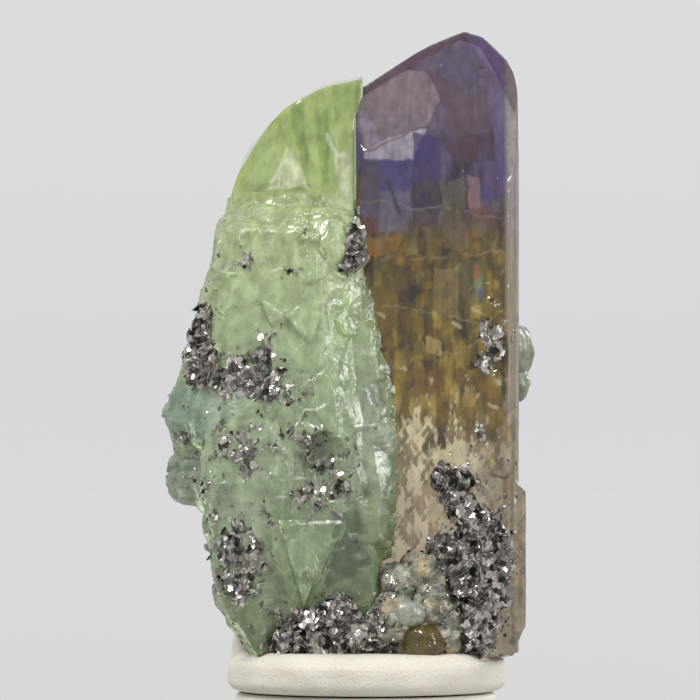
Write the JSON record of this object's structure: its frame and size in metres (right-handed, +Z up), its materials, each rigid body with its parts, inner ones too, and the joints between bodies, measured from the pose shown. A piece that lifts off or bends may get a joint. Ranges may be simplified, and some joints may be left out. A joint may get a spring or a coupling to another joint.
{
  "type": "tanzanite with diopside mineral specimen",
  "caption": "Zoned purple to brown tanzanite prism with a pale green diopside crystal, graphite flakes and cream matrix, held upright by putty on a round foot.",
  "frame": {"origin": "centre of the foot's flat underside", "axes": "+Z up along the crystals, -Y towards the side that is shown, +X to the right of that side"},
  "size_m": [0.0179, 0.0132, 0.0348],
  "materials": {
    "tanzanite": "clear crystal, purple above and brown below, polished faces with fine striations",
    "diopside": "pale green crystal, clear at the tip and milky below, waxy lustre",
    "graphite": "dark metallic flakes, brightly reflecting on their flat sides",
    "honey_grain": "clear brown-yellow crystal grain",
    "pale_grain": "milky pale green grain",
    "matrix": "granular cream rock, dull",
    "putty": "soft cream display putty, dull with a slight sheen",
    "foot": "plain cream foot, smooth and dull"
  },
  "bodies": {
    "root": {"tanzanite_crystal": "tanzanite", "diopside_crystal": "diopside", "side_diopside": "diopside", "graphite_base_heap": "graphite", "graphite_right_band": "graphite", "graphite_left_blade": "graphite", "graphite_shelf": "graphite", "graphite_low_left": "graphite", "graphite_seam": "graphite", "graphite_upper_right": "graphite", "graphite_cluster": "graphite", "graphite_hollow": "graphite", "honey_grain": "honey_grain", "pale_grain": "pale_grain", "cream_matrix": "matrix", "display_putty": "putty", "display_foot": "foot"}
  },
  "joints": []
}
